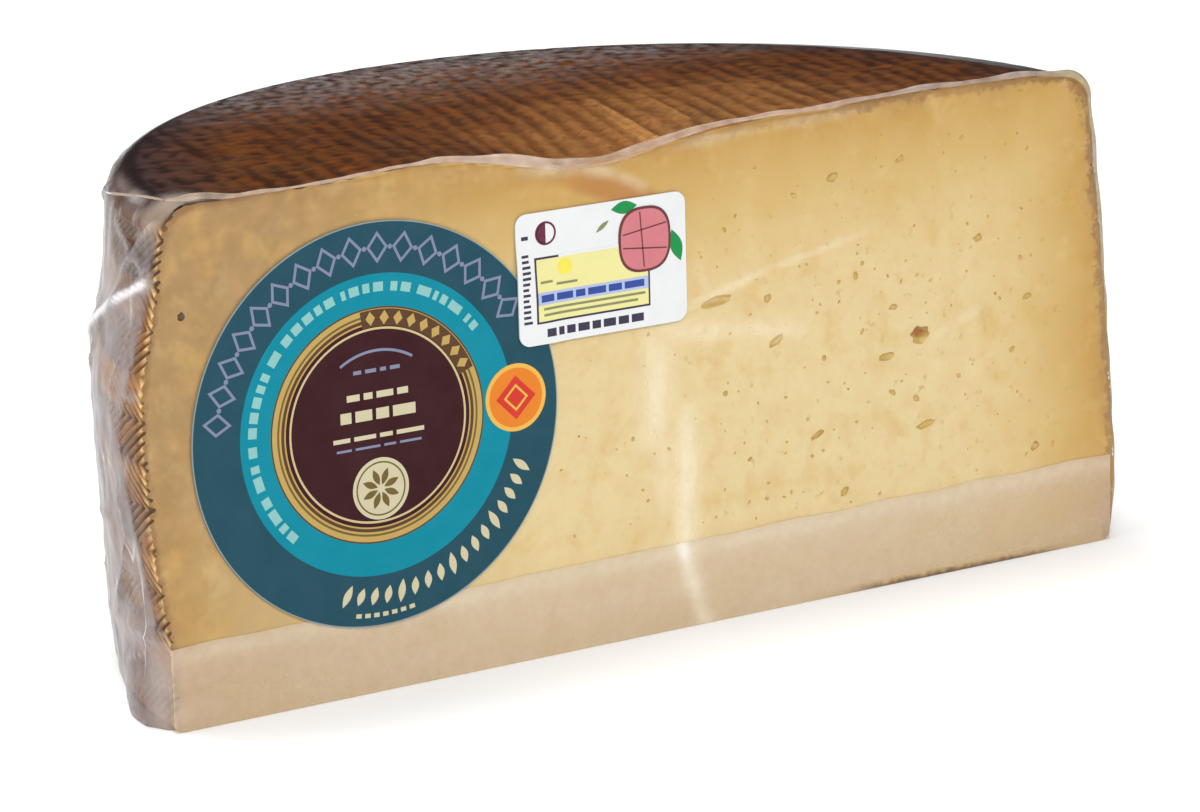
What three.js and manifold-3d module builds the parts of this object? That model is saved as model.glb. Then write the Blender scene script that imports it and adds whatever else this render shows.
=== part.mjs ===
// A half wheel of manchego in its clear vacuum film, lying on its round base with the cut face
// upright at the front, and the two paper labels that are stuck to the film over that face.
// Millimetres, +Z up, the cut face looks along -Y. The wheel's axis stands in the plane of the cut.

import * as THREE from "three";
import { mergeVertices } from "three/addons/utils/BufferGeometryUtils.js";
import Module from "manifold-3d";

// Wheel: outer radius of the wrapped rind at some heights, at the left edge of the cut, round the
// back, and at the right edge of the cut, where the cut corners have sagged outwards
const HEIGHT = 95;
const OUTLINE_HEIGHTS = [2, 15, 34, 60, 75, 92];
const LEFT_RADII = [102.6, 102.8, 105.3, 106.2, 103.3, 100.6];
const BACK_RADII = [102.5, 103.3, 103.3, 103.5, 101, 99.4];
const RIGHT_RADII = [104.4, 105.3, 104.2, 102, 100.4, 98.6];
const CORNER_SPAN = THREE.MathUtils.degToRad(30);
const BASE_ROUNDING = 2;
const TOP_ROUNDING = 5.8;
const ROUNDING_STEPS = 3;

// Plaited belt: the zigzag that the esparto mould leaves round the side
const BELT_ROWS = 11;
const BELT_STROKES = 132;
const BELT_DEPTH = 1.3;
const STROKE_SLOPE = THREE.MathUtils.degToRad(33);

// Top rind: straight ridges from the pressing board, and the places where the top swells or sinks
const RIDGE_PITCH = 3.6;
const RIDGE_DEPTH = 0.8;
const RIDGE_TURN = THREE.MathUtils.degToRad(-11);
const TOP_STEPS = 9;
const SWELLS = [
  { x: -15, y: -4, wide: 15, deep: 24, rise: -3.6 },
  { x: -46, y: 4, wide: 11, deep: 20, rise: 1.3 },
  { x: 64, y: 12, wide: 26, deep: 34, rise: 1.3 },
];

// Eyes: the larger ones in their places on the cut, then small ones drawn at random
const LARGE_EYES = [
  { x: 59.3, z: 49.5, wide: 5.4, high: 4.4, turn: 20 },
  { x: 54, z: 46, wide: 3.6, high: 2.4, turn: -10 },
  { x: 49, z: 47.7, wide: 2.8, high: 2.2, turn: 0 },
  { x: 42.4, z: 51, wide: 3.6, high: 2.6, turn: 35 },
  { x: 28.3, z: 52, wide: 3.6, high: 2.4, turn: -60 },
  { x: 15.8, z: 61, wide: 5, high: 1.8, turn: 8 },
  { x: 73, z: 65, wide: 3.4, high: 2.4, turn: 40 },
  { x: 60.4, z: 30.5, wide: 5.6, high: 2, turn: 12 },
  { x: 83.6, z: 53, wide: 2.8, high: 2, turn: 70 },
  { x: 85.5, z: 22, wide: 3, high: 2, turn: 10 },
  { x: 42, z: 35, wide: 2.8, high: 2, turn: -35 },
  { x: 58, z: 74, wide: 3, high: 1.8, turn: 15 },
  { x: -1.4, z: 49.3, wide: 3, high: 2, turn: 80 },
];
const SMALL_EYES = 16;
const SMALL_EYE_SIZE = 2.2;
const LOWEST_EYE = 20;
const HIGHEST_EYE = 87;
const EYE_DEPTH = 0.8; // share of an eye's height that it reaches in behind the cut

// Labels: thin paper on the film, the small one lying over the edge of the round one
const PAPER = 0.3;
const CLEARANCE = 0.3;
const ROUND_LABEL = { x: -59.7, z: 49.5, radius: 37 };
const GRADE_LABEL = { x: -12.4, z: 71.35, width: 36, height: 24.3, corner: 2.2 };
const LIFT_RUN = 3; // the paper climbs onto the round label over this distance

const wasm = await Module();
wasm.setup();

// A closed three.js geometry as a solid that can be joined and cut
function solidOf(geometry) {
  const bare = geometry.clone();
  bare.deleteAttribute("normal");
  bare.deleteAttribute("uv");
  const merged = mergeVertices(bare, 1e-4);
  return new wasm.Manifold(
    new wasm.Mesh({
      numProp: 3,
      vertProperties: new Float32Array(merged.attributes.position.array),
      triVerts: new Uint32Array(merged.index.array),
    })
  );
}

function geometryOf(solid) {
  const { vertProperties, triVerts } = solid.getMesh();
  const geometry = new THREE.BufferGeometry();
  geometry.setAttribute("position", new THREE.BufferAttribute(vertProperties, 3));
  geometry.setIndex(new THREE.BufferAttribute(triVerts, 1));
  geometry.computeVertexNormals();
  return geometry;
}

// Moves every vertex of a geometry by a function of its place and its number
function reshape(geometry, move) {
  const places = geometry.attributes.position;
  const point = new THREE.Vector3();
  for (let n = 0; n < places.count; n++) {
    point.fromBufferAttribute(places, n);
    move(point, n);
    places.setXYZ(n, point.x, point.y, point.z);
  }
  return geometry;
}

// A wave between 0 and 1 with straight flanks and a period of 2
function zigzag(t) {
  const phase = ((t % 2) + 2) % 2;
  return phase < 1 ? phase : 2 - phase;
}

const leftOutline = new THREE.CubicInterpolant(OUTLINE_HEIGHTS, LEFT_RADII, 1);
const backOutline = new THREE.CubicInterpolant(OUTLINE_HEIGHTS, BACK_RADII, 1);
const rightOutline = new THREE.CubicInterpolant(OUTLINE_HEIGHTS, RIGHT_RADII, 1);

// Outer radius of the wheel at a height, eased from each edge of the cut into the back
function outerRadius(height, angle) {
  const fromRight = Math.acos(Math.cos(angle));
  const atRight = 1 - THREE.MathUtils.smoothstep(fromRight, 0, CORNER_SPAN);
  const atLeft = THREE.MathUtils.smoothstep(fromRight, Math.PI - CORNER_SPAN, Math.PI);
  const back = backOutline.evaluate(height)[0];
  const left = leftOutline.evaluate(height)[0];
  const right = rightOutline.evaluate(height)[0];
  return back + (left - back) * atLeft + (right - back) * atRight;
}

// The rings of the wheel from the base's centre to the top's: height, how far inside the outer
// radius the ring lies, how far it is along the belt in rows, and how much of the relief it has
function wheelRings() {
  const rings = [{ height: 0, inset: Infinity, row: 0, relief: 0 }];
  const rowHeight = (HEIGHT - BASE_ROUNDING - TOP_ROUNDING) / BELT_ROWS;
  for (let step = 0; step < ROUNDING_STEPS; step++) {
    const turn = (step / ROUNDING_STEPS) * (Math.PI / 2);
    rings.push({
      height: BASE_ROUNDING * (1 - Math.cos(turn)),
      inset: BASE_ROUNDING * (1 - Math.sin(turn)),
      row: ((turn - Math.PI / 2) * BASE_ROUNDING) / rowHeight,
      relief: step / ROUNDING_STEPS,
    });
  }
  for (let row = 0; row <= BELT_ROWS; row++) {
    rings.push({ height: BASE_ROUNDING + row * rowHeight, inset: 0, row, relief: 1 });
  }
  for (let step = 1; step <= ROUNDING_STEPS; step++) {
    const turn = (step / ROUNDING_STEPS) * (Math.PI / 2);
    rings.push({
      height: HEIGHT - TOP_ROUNDING * (1 - Math.sin(turn)),
      inset: TOP_ROUNDING * (1 - Math.cos(turn)),
      row: BELT_ROWS + (turn * TOP_ROUNDING) / rowHeight,
      relief: 1 - step / ROUNDING_STEPS,
    });
  }
  rings.push({ height: HEIGHT + 4, inset: 45, row: BELT_ROWS, relief: 0 });
  rings.push({ height: HEIGHT + 4, inset: Infinity, row: 0, relief: 0 });
  return rings;
}

// The whole wheel as a lathe whose columns run along the strokes of the belt: every other column
// is pressed in, and the columns lean to and fro from row to row
function plaitedWheel() {
  const rings = wheelRings();
  const columns = 2 * BELT_STROKES;
  const rowHeight = (HEIGHT - BASE_ROUNDING - TOP_ROUNDING) / BELT_ROWS;
  const lean = rowHeight / Math.tan(STROKE_SLOPE) / outerRadius(HEIGHT / 2, Math.PI / 2);
  const profile = rings.map((ring) => new THREE.Vector2(ring.inset === Infinity ? 0 : 100, ring.height));
  const wheel = new THREE.LatheGeometry(profile, columns);
  return reshape(wheel, (point, n) => {
    const column = Math.floor(n / rings.length) % columns;
    const ring = rings[n % rings.length];
    const angle = (column / columns) * 2 * Math.PI + lean * zigzag(ring.row);
    const pressed = (column % 2) * BELT_DEPTH * ring.relief;
    const radius = ring.inset === Infinity ? 0 : outerRadius(ring.height, angle) - ring.inset - pressed;
    point.set(radius * Math.cos(angle), radius * Math.sin(angle), ring.height);
  });
}

// Height of the top rind, without its ridges
function topHeight(x, y) {
  let height = HEIGHT;
  for (const swell of SWELLS) {
    const away = ((x - swell.x) / swell.wide) ** 2 + ((y - swell.y) / swell.deep) ** 2;
    height += swell.rise * Math.exp(-away / 2);
  }
  return height;
}

// A block that ends upwards in the ridged top and holds all that is below it
function ridgedBlock() {
  const ridges = 2 * Math.ceil(2.4 * Math.max(...LEFT_RADII) / RIDGE_PITCH / 2);
  const side = ridges * RIDGE_PITCH;
  const block = new THREE.BoxGeometry(side, side, HEIGHT, 2 * ridges, TOP_STEPS, 1);
  return reshape(block, (point) => {
    const strip = Math.round((point.x + side / 2) / (RIDGE_PITCH / 2));
    const isTop = point.z > 0;
    const across = new THREE.Vector2(point.x, point.y).rotateAround(new THREE.Vector2(), RIDGE_TURN);
    const groove = (strip % 2) * RIDGE_DEPTH;
    point.set(across.x, across.y, isTop ? topHeight(across.x, across.y) - groove : -HEIGHT / 2);
  });
}

// What the knife takes away: everything in front of the cut
function cutAway() {
  const reach = 3 * HEIGHT;
  return solidOf(new THREE.BoxGeometry(reach, reach, reach).translate(0, -reach / 2, 0));
}

// An eye as a flattened ball centred on the cut face
function eyeBall(eye, detail) {
  const ball = new THREE.IcosahedronGeometry(0.5, detail);
  ball.scale(eye.wide, 2 * EYE_DEPTH * eye.high, eye.high);
  ball.rotateY(-THREE.MathUtils.degToRad(eye.turn));
  return solidOf(ball.translate(eye.x, 0, eye.z));
}

// A seeded draw between 0 and 1
function seededDraw(seed) {
  let state = seed;
  return () => {
    state = (state * 16807) % 2147483647;
    return state / 2147483647;
  };
}

function allEyes() {
  const draw = seededDraw(29);
  const eyes = LARGE_EYES.map((eye) => eyeBall(eye, 1));
  const taken = [...LARGE_EYES];
  while (taken.length < LARGE_EYES.length + SMALL_EYES) {
    // The paste is more open to the right of the middle
    const x = 45 + 90 * (draw() + draw() - 1);
    const z = LOWEST_EYE + draw() * (HIGHEST_EYE - LOWEST_EYE);
    const size = SMALL_EYE_SIZE * (0.7 + 0.6 * draw());
    const eye = { x, z, wide: size * (1 + 0.5 * draw()), high: size, turn: 180 * draw() };
    const inside = Math.abs(x) < RIGHT_RADII[5] - 8;
    const apart = taken.every((other) => Math.hypot(other.x - x, other.z - z) > 6);
    if (inside && apart) {
      taken.push(eye);
      eyes.push(eyeBall(eye, 0));
    }
  }
  return eyes;
}

function wrappedCheese() {
  const wheel = solidOf(plaitedWheel()).intersect(solidOf(ridgedBlock()));
  let half = wheel.subtract(cutAway());
  for (const eye of allEyes()) {
    half = half.subtract(eye);
  }
  return geometryOf(half);
}

// A disc of paper in front of the film
function roundLabel() {
  const disc = new THREE.CylinderGeometry(ROUND_LABEL.radius, ROUND_LABEL.radius, PAPER, 72);
  return disc.translate(ROUND_LABEL.x, -CLEARANCE - PAPER / 2, ROUND_LABEL.z);
}

// How far the small label is lifted at a place on the cut: it rests on the round one where the two
// lie over each other, and comes down to the film just outside that label's edge
function lift(x, z) {
  const beyond = Math.hypot(x - ROUND_LABEL.x, z - ROUND_LABEL.z) - ROUND_LABEL.radius - CLEARANCE;
  const share = THREE.MathUtils.clamp(1 - beyond / LIFT_RUN, 0, 1);
  return (PAPER + CLEARANCE) * share;
}

// The small label: a sheet cut to a rounded rectangle, then laid over film and round label
function gradeLabel() {
  const { width, height, corner } = GRADE_LABEL;
  const outline = new THREE.Shape();
  outline.moveTo(-width / 2 + corner, -height / 2);
  outline.lineTo(width / 2 - corner, -height / 2);
  outline.absarc(width / 2 - corner, -height / 2 + corner, corner, -Math.PI / 2, 0);
  outline.absarc(width / 2 - corner, height / 2 - corner, corner, 0, Math.PI / 2);
  outline.absarc(-width / 2 + corner, height / 2 - corner, corner, Math.PI / 2, Math.PI);
  outline.absarc(-width / 2 + corner, -height / 2 + corner, corner, Math.PI, 1.5 * Math.PI);
  const cutter = new THREE.ExtrudeGeometry(outline, { depth: 20, bevelEnabled: false, curveSegments: 4 });
  cutter.rotateX(Math.PI / 2);
  cutter.translate(GRADE_LABEL.x, 10, GRADE_LABEL.z);
  const sheet = new THREE.BoxGeometry(width + 2, PAPER, height + 2, 12, 1, 8);
  sheet.translate(GRADE_LABEL.x, -CLEARANCE - PAPER / 2, GRADE_LABEL.z);
  reshape(sheet, (point) => {
    point.y -= lift(point.x, point.z);
  });
  return geometryOf(solidOf(sheet).intersect(solidOf(cutter)));
}

function piece(name, geometry, finish) {
  const mesh = new THREE.Mesh(geometry, new THREE.MeshStandardMaterial(finish));
  mesh.name = name;
  return mesh;
}

const half = new THREE.Group();
half.add(piece("wrapped_cheese", wrappedCheese(), { color: 0xd9bd85, roughness: 0.35, metalness: 0 }));
half.add(piece("round_label", roundLabel(), { color: 0x305569, roughness: 0.4, metalness: 0 }));
half.add(piece("grade_label", gradeLabel(), { color: 0xf1efe9, roughness: 0.45, metalness: 0 }));

// The part's origin is the middle of the bottom of its bounding box
const middle = new THREE.Box3().setFromObject(half).getCenter(new THREE.Vector3());
half.position.set(-middle.x, -middle.y, 0);

const part = new THREE.Group();
part.add(half);

export default part;
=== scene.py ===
# Half a wheel of manchego in its vacuum film, with a round label and a small grade label.
# Everything is modelled in millimetres in the wheel's own frame (axis upright in the plane of the
# cut, cut face towards -Y, base on z = 0), then put into the frame's metres by place_piece.
import math
import random

import bmesh
import bpy
import numpy as np
from mathutils import Matrix, Vector, noise


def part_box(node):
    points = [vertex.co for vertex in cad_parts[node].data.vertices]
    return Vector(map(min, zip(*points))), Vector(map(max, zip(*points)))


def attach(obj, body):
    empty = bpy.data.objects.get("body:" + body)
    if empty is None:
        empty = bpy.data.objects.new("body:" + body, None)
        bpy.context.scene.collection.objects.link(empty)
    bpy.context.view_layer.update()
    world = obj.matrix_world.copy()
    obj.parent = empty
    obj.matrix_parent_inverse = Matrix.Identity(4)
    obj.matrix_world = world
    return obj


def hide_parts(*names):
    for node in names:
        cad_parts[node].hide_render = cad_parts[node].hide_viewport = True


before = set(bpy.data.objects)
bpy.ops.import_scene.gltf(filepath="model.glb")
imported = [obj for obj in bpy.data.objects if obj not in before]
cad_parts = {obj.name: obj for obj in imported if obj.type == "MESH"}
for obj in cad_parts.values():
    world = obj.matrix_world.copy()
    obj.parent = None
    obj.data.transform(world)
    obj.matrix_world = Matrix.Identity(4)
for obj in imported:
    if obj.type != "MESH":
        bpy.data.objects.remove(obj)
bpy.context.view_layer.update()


# Cheese
# Half a wheel of pressed, aged sheep's milk cheese, stood on its round base. The belt of plaited
# esparto leaves slanting strokes round the side, the pressing board leaves ridges on the top, and
# the knife leaves a flat cut with small eyes. The dimensions are the solid's, less the film's lift.
HEIGHT = 94.2
OUTLINE_LEFT = ((2, 102.6), (15, 102.8), (34, 105.3), (60, 106.2), (75, 103.3), (92, 100.6))
OUTLINE_BACK = ((2, 102.5), (15, 103.3), (34, 103.3), (60, 103.5), (75, 101.0), (92, 99.4))
OUTLINE_RIGHT = ((2, 104.4), (15, 105.3), (34, 104.2), (60, 102.0), (75, 100.4), (92, 98.6))
CORNER_SPAN = math.radians(30)
FILM_LIFT = 0.5
BASE_ROUNDING = 2.0
TOP_ROUNDING = 5.8
BELT_ROWS = 11
BELT_STROKES = 236  # in a full turn
COLUMNS_A_STROKE = 5
RINGS_A_ROW = 5
BELT_DEPTH = 1.1
STROKE_SLOPE = math.radians(33)
MEAN_RADIUS = 103
RIDGE_PITCH = 4.4
RIDGE_DEPTH = 0.7
RIDGE_TURN = math.radians(-11)
PATCH_X, PATCH_WIDE, PATCH_DEEP = 8, 46, 50
CUT_CELL = 8.0  # the cut is a grid of faces of this size
PROUD_RIDGES = (  # across and back of both ends
    (9, 38, 2.9, 4), (7.2, 36, 0.8, 4), (19.5, 37, 14.6, 12),
)
TOP_SWELLS = (  # across, back, width, depth and rise
    (-15, -4, 15, 24, -3.6), (-46, 4, 11, 20, 1.3), (64, 12, 26, 34, 1.3),
)
LARGE_EYES = (  # across, up, width, height, turn in degrees
    (58.3, 48.6, 4.6, 3.6, 20), (50.5, 45.2, 3.8, 1.7, 6), (52.2, 54.6, 2.2, 1.2, 0),
    (25.5, 52, 3.6, 1.7, 28), (12.4, 61.5, 6.4, 1.8, 6), (72, 65.3, 2.2, 1.6, 20),
    (59.5, 30.5, 4.4, 1.4, 14), (83.6, 52.3, 2.2, 1.4, 10), (85.5, 22, 2.2, 1.6, 30),
    (51.8, 38, 1.8, 1.2, -35), (38.5, 81.5, 2.8, 1.6, 15), (54, 83, 2.4, 1.2, 20),
    (34.6, 32.4, 3.4, 1.3, 25), (40.5, 20.4, 2.4, 1.4, 40), (23.8, 60.5, 1.8, 1.4, 0),
)
# How clearly the rind shows as a brown line under the rim of the cut: across and share
RIND_SHOWS = (
    (-105, 1), (-86, 0.95), (-77, 0.1), (0, 0.1), (10, 0.4), (36, 0.4), (47, 0.95), (57, 0.8),
    (65, 0.5), (76, 0.8), (96, 0.9), (101, 0.6), (105, 0.5),
)
DARK_PINHOLE = (-97.2, 74.7, 1.5, 1.6, 0)
# Soft patches on the cut: millimetres wide, detail, gain, start, share and colour
PASTE_PATCHES = (
    (9, 3, 5, -2.6, 0.4, (204, 168, 74)), (4.5, 4, 3.2, -1.3, 0.32, (214, 172, 112)),
    (7.5, 3, 4, -2.2, 0.3, (236, 219, 170)), (1.3, 1, 1, 0, 0.2, (196, 156, 92)),
)
MIDDLING_EYES = 34
PINHOLES = 150
EYES_SEED = 29
EYES_LEFT, EYES_RIGHT = -97, 94
EYES_DEEPEST = 5

WHEEL_LEFT = 106.39  # the wheel's axis is this far from the leftmost rind
MM = 0.001
cheese_low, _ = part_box("wrapped_cheese")
WHEEL_PLACE = Vector((cheese_low[0] + WHEEL_LEFT * MM, cheese_low[1], 0))
row_height = (HEIGHT - BASE_ROUNDING - TOP_ROUNDING) / BELT_ROWS


def along_curve(points, at):
    """Value at one place of the smooth curve through (place, value) points."""
    k = 0
    while k < len(points) - 2 and at > points[k + 1][0]:
        k += 1
    (start, low), (end, high) = points[k], points[k + 1]
    before, after = points[max(k - 1, 0)], points[min(k + 2, len(points) - 1)]
    span = end - start
    leave = span * (high - before[1]) / (end - before[0])
    arrive = span * (after[1] - low) / (after[0] - start)
    t = min(max((at - start) / span, 0), 1)
    bend = low * (1 + 2 * t) * (1 - t) ** 2 + high * t * t * (3 - 2 * t)
    return bend + leave * t * (1 - t) ** 2 - arrive * t * t * (1 - t)


def ease(t):
    """A smooth step from 0 to 1, of one value or of each in an array."""
    t = min(max(t, 0), 1) if np.isscalar(t) else np.clip(t, 0, 1)
    return t * t * (3 - 2 * t)


def hump(off, wide):
    """1 in the middle, falling away smoothly to both sides."""
    return math.exp(-((off / wide) ** 2))


def rind_radius(angle, height):
    """Radius of the rind, eased from each cut corner into the back."""
    round_from_right = math.acos(math.cos(angle))
    at_right = 1 - ease(round_from_right / CORNER_SPAN)
    at_left = ease((round_from_right - math.pi + CORNER_SPAN) / CORNER_SPAN)
    back = along_curve(OUTLINE_BACK, height)
    left = along_curve(OUTLINE_LEFT, height)
    right = along_curve(OUTLINE_RIGHT, height)
    return back + (left - back) * at_left + (right - back) * at_right - FILM_LIFT


def rough_at(x, y, z):
    return noise.noise(Vector((x, y, z)))


def zigzag(t):
    phase = t % 2
    return phase if phase < 1 else 2 - phase


def wheel_profile():
    """Points of the wheel's half section, from the middle of the base up to the middle of the top."""
    points = [(0, 0), (60, 0), (90, 0)]
    for step in range(4):
        turn = step / 4 * math.pi / 2
        inset = BASE_ROUNDING * (1 - math.sin(turn))
        points.append((100 - inset, BASE_ROUNDING * (1 - math.cos(turn))))
    for ring in range(BELT_ROWS * RINGS_A_ROW + 1):
        points.append((100, BASE_ROUNDING + ring * row_height / RINGS_A_ROW))
    for step in range(1, 7):
        turn = step / 6 * math.pi / 2
        inset = TOP_ROUNDING * (1 - math.cos(turn))
        points.append((100 - inset, HEIGHT - TOP_ROUNDING * (1 - math.sin(turn))))
    return points + [(70, HEIGHT + 3), (0, HEIGHT + 3)]


def wheel_half(belt_depth):
    """The half wheel, closed by the cut and by a plain top that stands too high."""
    bm = bmesh.new()
    corners = [bm.verts.new((radius, 0, height)) for radius, height in wheel_profile()]
    edges = [bm.edges.new(pair) for pair in zip(corners, corners[1:])]
    columns = BELT_STROKES * COLUMNS_A_STROKE
    step = 2 * math.pi / columns
    first = math.radians(-9)
    steps = math.ceil(math.radians(198) / step)
    bmesh.ops.rotate(bm, verts=bm.verts, cent=(0, 0, 0), matrix=Matrix.Rotation(first, 3, "Z"))
    bmesh.ops.spin(
        bm, geom=corners + edges, cent=(0, 0, 0), axis=(0, 0, 1), angle=step * steps, steps=steps
    )
    bmesh.ops.remove_doubles(bm, verts=bm.verts, dist=0.001)
    bmesh.ops.recalc_face_normals(bm, faces=bm.faces)
    lean = row_height / math.tan(STROKE_SLOPE) / MEAN_RADIUS
    for vert in bm.verts:
        radius, height = vert.co.xy.length, vert.co.z
        if radius < 80:
            continue
        angle = math.atan2(vert.co.y, vert.co.x) % (2 * math.pi)
        column = round((angle - first) % (2 * math.pi) / step)
        row = (height - BASE_ROUNDING) / row_height
        stroke = column / COLUMNS_A_STROKE
        wander = 0.3 * rough_at(stroke * 0.21, row * 0.6, 3.1)
        angle += lean * zigzag(row) + wander * step * COLUMNS_A_STROKE
        bump = Vector((math.cos(angle) * MEAN_RADIUS, math.sin(angle) * MEAN_RADIUS, height))
        inset = 100 - radius
        on_side = ease((height - 0.3) / 3) * (1 - ease(inset / TOP_ROUNDING))
        wave = (0.5 - 0.5 * math.cos(2 * math.pi * stroke)) ** 1.6
        worn = 0.75 + 0.9 * rough_at(stroke * 0.37, row * 0.9, 7.7)
        notch = 1.6 * max(0, rough_at(0, 5, height / 8) - 0.15)
        worn *= min(1, 0.3 + notch + 0.7 * ease(math.sin(angle / 2) / 0.12))
        seam = 0.25 * hump((row + 0.5) % 1 - 0.5, 0.09)
        rough = 0.17 * noise.noise(bump / 3.1) + 0.08 * noise.noise(bump / 1.1)
        pressed = belt_depth * (on_side * (worn * wave + seam) - rough * ease(height / 2))
        out = rind_radius(angle, height) - inset - pressed
        vert.co = Vector((out * math.cos(angle), out * math.sin(angle), height))
    bmesh.ops.bisect_plane(
        bm, geom=bm.verts[:] + bm.edges[:] + bm.faces[:], dist=0.0001,
        plane_co=(0, 0, 0), plane_no=(0, -1, 0), clear_outer=True,
    )
    rim = [edge for edge in bm.edges if edge.is_boundary]
    cut = bmesh.ops.contextual_create(bm, geom=rim)["faces"]
    for along, normal, size in ((0, (1, 0, 0), 216), (2, (0, 0, 1), HEIGHT)):
        for k in range(1, round(size / CUT_CELL)):
            place = [0, 0, 0]
            place[along] = k * CUT_CELL - (size / 2 if along == 0 else 0)
            parts = [*cut, *{edge for face in cut for edge in face.edges}]
            parts += {vert for face in cut for vert in face.verts}
            made = bmesh.ops.bisect_plane(bm, geom=parts, dist=0.001, plane_co=place, plane_no=normal)
            cut = [item for item in made["geom"] if isinstance(item, bmesh.types.BMFace)]
    bmesh.ops.recalc_face_normals(bm, faces=bm.faces)
    bmesh.ops.triangulate(bm, faces=[face for face in bm.faces if len(face.verts) > 4])
    return bm


def top_height(x, y):
    """Height of the top rind between its ridges' crests."""
    height = HEIGHT
    for across, back, wide, deep, rise in TOP_SWELLS:
        height += rise * math.exp(-(((x - across) / wide) ** 2 + ((y - back) / deep) ** 2) / 2)
    return height


def ridge_share(x, y):
    """Depth of the board's ridges: full on the patch behind the cut, less far from it."""
    return 0.2 + 0.8 * math.exp(-(((x - PATCH_X) / PATCH_WIDE) ** 2 + (y / PATCH_DEEP) ** 2))


def proud_ridge(place):
    """Rise of the few ridges that stand above the others."""
    rise = 0
    for across, back, to_across, to_back in PROUD_RIDGES:
        start, way = Vector((across, back)), Vector((to_across - across, to_back - back))
        share = min(max((place - start).dot(way) / way.length_squared, 0), 1)
        off = (place - start - way * share).length
        rise = max(rise, 0.45 * hump(off, 0.75) * (0.4 + 0.6 * share))
    return rise


def thicken(bm, faces, height):
    """Makes flat faces into a closed plate with its new side at this height; gives what is new."""
    made = bmesh.ops.extrude_face_region(bm, geom=faces, use_keep_orig=True)["geom"]
    for item in made:
        if isinstance(item, bmesh.types.BMVert):
            item.co.z = height
    return made


def ridged_block(ridge_depth, bridged):
    """A block whose upper side is the ridged top and whose lower side lies under the base. Where
    the film bridges the ridges they are smoothed away near the cut."""
    bm = bmesh.new()
    reach = 114
    strips = round(2 * reach / RIDGE_PITCH) * 6
    bmesh.ops.create_grid(bm, x_segments=strips, y_segments=140, size=reach)
    for vert in bm.verts:
        vert.co.y = vert.co.y * 0.69 + 48
    thicken(bm, bm.faces[:], -20)
    turn = Matrix.Rotation(RIDGE_TURN, 4, "Z")
    for vert in bm.verts:
        strip = (vert.co.x - 1.7) / RIDGE_PITCH
        wander = 0.9 * rough_at(vert.co.x * 0.09, vert.co.y * 0.05, 5)
        vert.co.x += wander
        low = vert.co.z < -1
        vert.co = turn @ vert.co
        if low:
            continue
        crest = rough_at(round(strip) * 0.4, vert.co.y * 0.05, 9)
        depth = ridge_depth * ridge_share(vert.co.x, vert.co.y) * (0.8 + 0.6 * crest)
        groove = depth * (0.5 - 0.5 * math.cos(2 * math.pi * strip))
        rough = 0.12 * noise.noise(vert.co / 7) + 0.22 * noise.noise(vert.co / 2.2)
        worn_edge = math.exp(-(((vert.co.x + 6) / 44) ** 4))
        groove *= 1 - worn_edge * (1 - ease(vert.co.y / 4))
        if bridged:
            groove *= ease((vert.co.y - 0.5) / 5)
            rough *= ease((vert.co.y - 0.5) / 5)
        vert.co.z = top_height(vert.co.x, vert.co.y) + proud_ridge(vert.co.xy) - groove + rough
    bmesh.ops.recalc_face_normals(bm, faces=bm.faces)
    return bm


def eye_balls():
    """The eyes as loose dented balls on the plane of the cut, none touching another."""
    draw = random.Random(EYES_SEED)
    eyes = [DARK_PINHOLE, *LARGE_EYES]
    drawn = len(eyes)
    while len(eyes) < drawn + MIDDLING_EYES + PINHOLES:
        middling = len(eyes) < drawn + MIDDLING_EYES
        across = draw.gauss(45, 32) if middling else draw.gauss(35, 45)
        up = draw.uniform(18, 88)
        size = draw.uniform(0.6, 1.1) if middling else draw.uniform(0.3, 0.7)
        eye = (across, up, size * draw.uniform(1, 1.7), size, draw.uniform(0, 180))
        apart = all(math.hypot(e[0] - across, e[1] - up) > 0.75 * (e[2] + eye[2]) for e in eyes)
        if EYES_LEFT < across < EYES_RIGHT and apart:
            eyes.append(eye)
    bm = bmesh.new()
    for across, up, wide, high, turn in eyes:
        fineness = 3 if high > 2.3 else 2 if high > 1 else 1
        made = bmesh.ops.create_icosphere(bm, subdivisions=fineness, radius=0.5)["verts"]
        spin = Matrix.Rotation(math.radians(-turn), 4, "Y")
        size = Matrix.Diagonal((wide, 0.9 * high, high, 1))
        for vert in made:
            dent = 1 + 0.5 * noise.noise(vert.co * 3.3 + Vector((across, up, 0)))
            vert.co = spin @ size @ (vert.co * dent) + Vector((across, 0, up))
    return bm


def as_object(bm, name):
    mesh = bpy.data.meshes.new(name)
    bm.to_mesh(mesh)
    bm.free()
    piece = bpy.data.objects.new(name, mesh)
    bpy.context.scene.collection.objects.link(piece)
    return piece


def drop(piece):
    mesh = piece.data
    bpy.data.objects.remove(piece)
    bpy.data.meshes.remove(mesh)


def apply_modifiers(piece):
    ready = piece.evaluated_get(bpy.context.evaluated_depsgraph_get())
    finished = bpy.data.meshes.new_from_object(ready)
    piece.modifiers.clear()
    old, piece.data = piece.data, finished
    name = old.name
    bpy.data.meshes.remove(old)
    finished.name = name


def cut_with(piece, operation, tool):
    """Applies one Boolean and deletes the tool."""
    cut = piece.modifiers.new("cut", "BOOLEAN")
    cut.operation = operation
    cut.solver = "MANIFOLD"
    cut.object = tool
    apply_modifiers(piece)
    drop(tool)


def place_piece(piece):
    """Takes a finished mesh from the wheel's millimetres to the frame's metres."""
    piece.data.transform(Matrix.Translation(WHEEL_PLACE) @ Matrix.Scale(MM, 4))
    piece.data.update()


def smooth_but_edges(piece, degrees):
    piece.data.shade_smooth()
    piece.data.set_sharp_from_angle(angle=math.radians(degrees))


def set_point_values(mesh, name, values):
    attribute = mesh.attributes.new(name, "FLOAT", "POINT")
    attribute.data.foreach_set("value", np.asarray(values, dtype=np.float32))


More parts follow.
